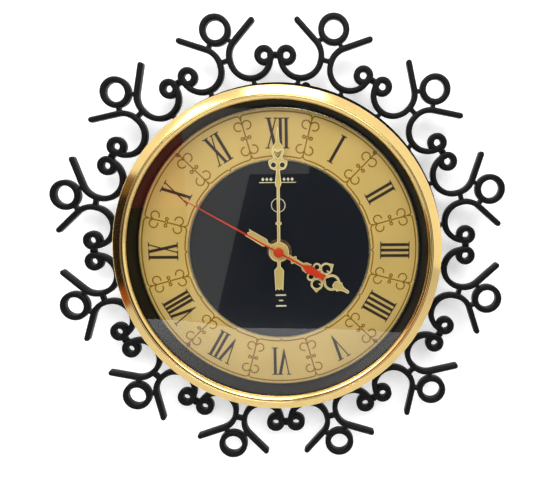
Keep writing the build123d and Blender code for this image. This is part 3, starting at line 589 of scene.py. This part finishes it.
def numeral_outlines(numeral):
    gaps = [GAP_AFTER[letter] for letter in numeral[:-1]]
    letters = sum(LETTER_WIDTH[letter] for letter in numeral)
    squeeze = min(1.0, (WIDEST - letters) / sum(gaps)) if gaps else 1.0
    left = -(letters + squeeze * sum(gaps)) / 2
    outlines = []
    for letter, gap in zip(numeral, gaps + [0.0]):
        outlines += letter_outlines(letter, left)
        left += LETTER_WIDTH[letter] + gap * squeeze
    return outlines


def print_planes(node):
    """Front and back y of a print that lies on a CAD node's front."""
    return front_of(node) - PRINT_THICK, front_of(node) + PRINT_SINK


def numerals():
    front, back = print_planes("chapter_ring")
    for k, numeral in enumerate(NUMERALS):
        piece = union(f"numeral_{k or HOURS:02d}", [prism(o, front, back) for o in numeral_outlines(numeral)])
        turn_round(piece, HOUR_ANGLE * k + PRINT_TURN)
        place(piece, PAINT["numeral_print"])


def ornament_paths():
    """Lines between two numerals, drawn at the top: axis, borders, four curls, a diamond and two loops."""
    half = HOUR_ANGLE / 2
    axis = [[(0, INNER_LINE + AXIS_LOW_GAP), (0, KNOT_LOW)],
            [(0, KNOT_HIGH), (0, OUTER_LINE - AXIS_HIGH_GAP)]]
    outer_border = [(x, OUTER_LINE - inwards) for x, inwards in OUTER_TURN]
    outer_border += arc(0, 0, OUTER_LINE, 90 - OUTER_START, 90 - half, BORDER_STEP)
    inner_border = [(x, INNER_LINE + outwards) for x, outwards in INNER_TURN]
    inner_border += arc(0, 0, INNER_LINE, 90 - INNER_START, 90 - half + INNER_STOP, BORDER_STEP)
    dip = INNER_LINE - INNER_DIP
    inner_border += [(dip * sin(radians(half)), dip * cos(radians(half)))]
    high_curl = [(CURL_ROOT_X, HIGH_CURL_ROOT_Z)]
    high_curl += arc(CURL_X, HIGH_CURL_Z, CURL_RADIUS, start=150, end=-105, step=CURL_STEP)
    low_curl = [(CURL_ROOT_X, LOW_CURL_ROOT_Z)]
    low_curl += arc(CURL_X, LOW_CURL_Z, CURL_RADIUS, start=210, end=450, step=CURL_STEP)
    diamond = [(0, KNOT_LOW), (KNOT_HALF, KNOT_MIDDLE), (0, KNOT_HIGH)]
    loop = arc(LOOP_X, KNOT_MIDDLE, LOOP_RADIUS, start=180, end=-180, step=LOOP_STEP)
    right = [outer_border, inner_border, high_curl, low_curl, diamond, loop]
    return axis + right + [mirrored(path) for path in right]


def line_print():
    front, back = print_planes("chapter_ring")
    half = half_section(LINE_WIDTH / 2, front, back)
    unit = union("line_unit", [bar(path, half) for path in ornament_paths()])
    repeat_between_hours(unit, "ornament", "line_print", extra_turn=PRINT_TURN / 2)


def painted_highlight_edges():
    """Edges of the chapter ring, raised a hair above its face, in a lighter gold that is a painted highlight.
    """
    front, outer = front_of("chapter_ring"), outer_radius("chapter_ring")
    for name, start, end in (("chapter_inner_edge", *INNER_EDGE),
                             ("chapter_outer_edge", outer - OUTER_EDGE_WIDTH, outer)):
        middle = (start + end) / 2
        profile = [(start, front + EDGE_SINK), (start, front - EDGE_RISE), (middle, front - EDGE_CROWN),
                   (end, front - EDGE_RISE), (end, front + EDGE_SINK)]
        place(drawn_object(name, lathe(profile, CUT_EDGE_SIDES)), PAINT["edge_painted_highlight_gold"])


# ---- Marks on the dial's black centre ----
MARK_WIDTH, DASH_HALF_WIDTH = 0.5, 0.5
RULE_Z, RULE_REACH = 48.4, 12.6
LOZENGE_Z, LOZENGE_HALF_WIDTH, LOZENGE_HALF_HEIGHT = 50.6, 1.1, 1.3
LOZENGE_PLACES = (-10.2, -7.4, -4.6, 4.6, 7.4, 10.2)
MARK_RING_Z, MARK_RING_RADIUS = 32.4, 4.8
DASHES = ((-32.6, 3.3), (-36.6, 1.1), (-40.6, 3.3))      # height, and reach to each side


def dial_marks():
    """Plain marks: a ruled row of lozenges, a ring and three dashes."""
    front, back = print_planes("dial_plate")
    line, dash = half_section(MARK_WIDTH / 2, front, back), half_section(DASH_HALF_WIDTH, front, back)
    meshes = [bar([(-RULE_REACH, RULE_Z), (RULE_REACH, RULE_Z)], line)]
    meshes.append(bar(arc(0, MARK_RING_Z, MARK_RING_RADIUS, start=0, end=360, step=12), line))
    for x in LOZENGE_PLACES:
        outline = [(x, LOZENGE_Z - LOZENGE_HALF_HEIGHT), (x + LOZENGE_HALF_WIDTH, LOZENGE_Z),
                   (x, LOZENGE_Z + LOZENGE_HALF_HEIGHT), (x - LOZENGE_HALF_WIDTH, LOZENGE_Z)]
        meshes.append(prism(outline, front, back))
    for z, reach in DASHES:
        meshes.append(bar([(-reach, z), (reach, z)], dash))
    place(union("dial_marks", meshes), PAINT["mark_gold"])


# ---- CAD nodes that keep their shape, and the two pressed hands ----
# the hour collet takes the lighter gold of the painted highlight
SPECIAL_PAINT = {"dial_rivets": "rivet_bronze", "hour_collet": "hand_rim_painted_highlight", "minute_collet": "hand_brass"}
STAMPINGS = ("second_hand", "hand_nut", "hour_collet", "minute_collet", "second_hub")
STAMPING_ROUND, STAMPING_EDGE_ANGLE = 0.1, 50
RIM_WIDTH, FACE_SINK = 0.4, 0.08
FACES_FRONT = -0.9               # a face whose normal's y is below this is part of the front


def keep_cad_nodes():
    """Every CAD node gets its material; stampings and turned parts get a small rounded edge too."""
    for part in frame["record"]["subparts"]:
        node = frame["nodes"][part["node"]]
        node.data.materials.clear()
        node.data.materials.append(PAINT[SPECIAL_PAINT.get(part["node"], part["material_slot"])])
    for name in STAMPINGS:
        edge = frame["nodes"][name].modifiers.new("edge", "BEVEL")
        edge.width = STAMPING_ROUND * MM
        edge.segments = 2
        edge.limit_method = "ANGLE"
        edge.angle_limit = radians(STAMPING_EDGE_ANGLE)


def pressed_hand(node, body):
    """A stamped hand with a raised rim round its face; the rim's lighter gold is a painted highlight."""
    bm = bmesh.new()
    bm.from_mesh(frame["nodes"][node].data)
    bmesh.ops.remove_doubles(bm, verts=bm.verts, dist=WELD * MM)
    face = [f for f in bm.faces if f.normal.y < FACES_FRONT]
    rim = bmesh.ops.inset_region(bm, faces=face, thickness=RIM_WIDTH * MM, depth=-FACE_SINK * MM,
                                 use_boundary=True, use_even_offset=True)
    bm.faces.index_update()
    rim_faces = [f.index for f in rim["faces"]]
    mesh = mesh_from(f"{node}_pressed", bm)
    place(smooth_object(f"{node}_pressed", mesh), PAINT["hand_brass"], body, [node])
    # painted highlight: the rim faces get the lighter gold
    mesh.materials.append(PAINT["hand_rim_painted_highlight"])
    for index in rim_faces:
        mesh.polygons[index].material_index = 1


# ---- Stage ----
STAGE_REACH = 3.0                # of the wall to each side and up, and of the floor to each side and back
FLOOR_Z = -0.9
FLOOR_NEAR_LEFT, FLOOR_NEAR_RIGHT = -3.3, -2.15      # y of the floor's near edge at its two ends
WALL_GAP = 0.0005                # between the clock's back and the wall
WALL_GLOW = 0.33                 # keeps the shadows on the white wall faint
OPENING_RADIUS, OPENING_SIDES = 0.1, 48


def stage_object(name, mesh, paint):
    piece = add_object(name, mesh)
    mesh.materials.append(paint)
    return piece


def plane(name, corners, paint):
    mesh = bpy.data.meshes.new(name)
    mesh.from_pydata(corners, [], [range(len(corners))])
    return stage_object(name, mesh, paint)


def wall_material():
    """Matt white paint that can't be seen from behind, so that the clock's back shows in a back view."""
    made = material("wall_paint", (0.92, 0.92, 0.92), 0.9, dark=0.99, grain=4, Specular_IOR_Level=0.1,
                    Emission_Color=(1.0, 1.0, 1.0, 1.0), Emission_Strength=WALL_GLOW)
    tree = made.node_tree
    side = add_node(tree, "NewGeometry")
    see_through_where(tree, tree.nodes["Principled BSDF"], side.outputs["Backfacing"])
    return made


def wall():
    """The wall, with an opening that the case hides, through which light reaches the clock's back."""
    y = cad_box[1][1] + WALL_GAP
    turns = [2 * pi * k / OPENING_SIDES for k in range(OPENING_SIDES)]
    opening = [(OPENING_RADIUS * cos(a), y, OPENING_RADIUS * sin(a)) for a in turns]
    edge = []
    for a in turns:
        reach = STAGE_REACH / max(abs(cos(a)), abs(sin(a)))
        edge.append((reach * cos(a), y, max(reach * sin(a), FLOOR_Z)))
    bm = bmesh.new()
    inner, outer = ([bm.verts.new(point) for point in ring] for ring in (opening, edge))
    for i in range(OPENING_SIDES):
        j = (i + 1) % OPENING_SIDES
        bm.faces.new((inner[i], outer[i], outer[j], inner[j]))
    for face in bm.faces:
        face.normal_update()
        if face.normal.y > 0:
            face.normal_flip()
    stage_object("wall", mesh_from("wall", bm), wall_material())


def stage():
    wall()
    paint = material("floor_paint", (0.6, 0.6, 0.61), 0.8, dark=0.98, grain=5)
    plane("floor", [(-STAGE_REACH, FLOOR_NEAR_LEFT, FLOOR_Z), (STAGE_REACH, FLOOR_NEAR_RIGHT, FLOOR_Z),
                    (STAGE_REACH, STAGE_REACH, FLOOR_Z), (-STAGE_REACH, STAGE_REACH, FLOOR_Z)], paint)


# ---- Lights: soft lamps, the room, and cards that only the glass and the gold mirror ----
CLOCK_MIDDLE = Vector((0.0, 0.0, 0.0))
LAMPS = {                        # place, width and height, and power in watts
    "key": ((-1.0, -1.25, 1.2), (0.8, 0.8), 14),
    "front_high": ((0.35, -1.6, 0.95), (1.2, 0.7), 17),
    "top": ((0.0, -0.68, 1.22), (0.7, 0.35), 3.5),
}
ROOM_FRONT, ROOM_SIDES = 0.05, 1.12      # brightness straight in front of the clock, and elsewhere
FRONT_FULL, FRONT_END = -0.86, -0.72     # y of a direction where the dark front is full, and where it ends
SIDE_CARD_X, SIDE_CARD_NEAR, SIDE_CARD_FAR = -0.9, -0.85, -0.08
SIDE_CARDS = {                   # bottom, top and colour
    "amber_card": (-0.43, -0.31, (0.35, 0.09, 0.012)),
    "dark_card": (-0.31, 0.2, (0.02, 0.012, 0.008)),
    "brown_card": (0.2, 0.33, (0.2, 0.12, 0.05)),
}
FRONT_CARD_Y = -1.65
FRONT_CARDS = {                  # corners as (x, z), colour and glow
    "red_brown_card": ([(-1.3, -0.12), (-0.44, -0.12), (-0.44, 0.6), (-1.3, 0.6)],
                       (0.4, 0.05, 0.035), 1.15),
    "ochre_card": ([(-1.3, -0.455), (-0.44, -0.515), (-0.44, -0.12), (-1.3, -0.12)],
                   (0.06, 0.045, 0.008), 1.0),
    "pale_card": ([(-0.44, 0.2), (-0.44, -0.515), (-0.356, -0.5), (-0.225, -0.015), (-0.026, -0.015),
                   (-0.026, 0.2)], (0.3, 0.29, 0.27), 1.4),
}
FLOOR_CARD_Z = -0.88
FLOOR_CARD = [(-2.9, -4.0), (-1.006, -3.031), (-0.485, -2.76), (0.08, -2.7), (1.2, -2.42), (1.2, -1.6),
              (-2.9, -1.6)]
FLOOR_CARD_COLOUR = (0.8, 0.82, 0.85)
FLOOR_CARD_GLOW, FLOOR_CARD_DIM_GLOW = 1.65, 0.5
FLOOR_CARD_BRIGHT_Y, FLOOR_CARD_DIM_Y = -2.9, -1.7


def softbox(name, at, size, power):
    """A soft lamp that shines on the clock."""
    lamp = bpy.data.lights.new(name, "AREA")
    lamp.shape = "RECTANGLE"
    lamp.size, lamp.size_y = size
    lamp.energy = power
    piece = add_object(name, lamp)
    piece.location = at
    piece.rotation_euler = (CLOCK_MIDDLE - Vector(at)).to_track_quat("-Z", "Y").to_euler()
    piece.visible_camera = False


def room():
    """A pale room, darker straight in front of the clock, which the glass would mirror."""
    made = bpy.data.worlds.new("room")
    made.use_nodes = True
    tree = made.node_tree
    background = tree.nodes["Background"]
    set_sockets(background, Color=(1.0, 1.0, 1.0, 1.0))
    where = add_node(tree, "TexCoord")
    split = add_node(tree, "SeparateXYZ")
    tree.links.new(where.outputs["Generated"], split.inputs["Vector"])
    strength = add_node(tree, "MapRange", From_Min=FRONT_FULL, From_Max=FRONT_END, To_Min=ROOM_FRONT,
                        To_Max=ROOM_SIDES)
    tree.links.new(split.outputs["Y"], strength.inputs["Value"])
    ray = add_node(tree, "LightPath")
    backdrop = add_node(tree, "Math")
    backdrop.operation = "MAXIMUM"
    tree.links.new(strength.outputs["Result"], backdrop.inputs[0])
    tree.links.new(ray.outputs["Is Camera Ray"], backdrop.inputs[1])
    tree.links.new(backdrop.outputs["Value"], background.inputs["Strength"])
    bpy.context.scene.world = made


def card(name, corners, colour, glow=1.0):
    """A lit studio card, seen only as a reflection."""
    paint = material(f"{name}_paint", (0.0, 0.0, 0.0), 0.9, Specular_IOR_Level=0.0,
                     Emission_Color=(*colour, 1.0), Emission_Strength=glow)
    piece = plane(name, corners, paint)
    piece.visible_camera = piece.visible_diffuse = piece.visible_shadow = False
    return paint


def fade(paint, bright_y, dim_y, dim_glow):
    """Lets a card's glow fall away smoothly between two places along y."""
    tree = paint.node_tree
    glow = tree.nodes["Principled BSDF"].inputs["Emission Strength"]
    where = add_node(tree, "TexCoord")
    split = add_node(tree, "SeparateXYZ")
    tree.links.new(where.outputs["Object"], split.inputs["Vector"])
    share = add_node(tree, "MapRange", From_Min=bright_y, From_Max=dim_y, To_Min=glow.default_value,
                     To_Max=dim_glow)
    tree.links.new(split.outputs["Y"], share.inputs["Value"])
    tree.links.new(share.outputs["Result"], glow)


def lights():
    room()
    for name, (at, size, power) in LAMPS.items():
        softbox(name, at, size, power)
    x, near, far = SIDE_CARD_X, SIDE_CARD_NEAR, SIDE_CARD_FAR
    for name, (low, high, colour) in SIDE_CARDS.items():
        card(name, [(x, near, low), (x, far, low), (x, far, high), (x, near, high)], colour)
    for name, (outline, colour, glow) in FRONT_CARDS.items():
        card(name, [(x, FRONT_CARD_Y, z) for x, z in outline], colour, glow)
    corners = [(x, y, FLOOR_CARD_Z) for x, y in FLOOR_CARD]
    paint = card("floor_card", corners, FLOOR_CARD_COLOUR, FLOOR_CARD_GLOW)
    fade(paint, FLOOR_CARD_BRIGHT_Y, FLOOR_CARD_DIM_Y, FLOOR_CARD_DIM_GLOW)


# ---- Camera ----
CAMERA_PLACE = Vector((0.03521, -0.45732, 0.07257))
CAMERA_YAW, CAMERA_PITCH, CAMERA_ROLL = radians(1.262), radians(-9.562), radians(-0.693)
CAMERA_LENS, CAMERA_SHIFT = 38.6, (-0.1107, 0.0139)
CAMERA_NEAREST = 0.01


def camera():
    forward = Vector((sin(CAMERA_YAW) * cos(CAMERA_PITCH), cos(CAMERA_YAW) * cos(CAMERA_PITCH),
                      sin(CAMERA_PITCH)))
    right = Vector((cos(CAMERA_YAW), -sin(CAMERA_YAW), 0.0))
    up = right.cross(forward)
    rolled_right = right * cos(CAMERA_ROLL) + up * sin(CAMERA_ROLL)
    rolled_up = up * cos(CAMERA_ROLL) - right * sin(CAMERA_ROLL)
    lens = bpy.data.cameras.new("camera")
    lens.lens = CAMERA_LENS
    lens.shift_x, lens.shift_y = CAMERA_SHIFT
    lens.clip_start = CAMERA_NEAREST
    piece = add_object("camera", lens)
    turn = Matrix((rolled_right, rolled_up, -forward)).transposed().to_4x4()
    piece.matrix_world = Matrix.Translation(CAMERA_PLACE) @ turn
    bpy.context.scene.camera = piece


keep_cad_nodes()
wreath()
bezel()
numerals()
line_print()
dial_marks()
painted_highlight_edges()
pressed_hand("hour_hand", "hour_hand_body")
pressed_hand("minute_hand", "minute_hand_body")
stage()
lights()
camera()
bpy.context.scene.view_settings.view_transform = "Standard"
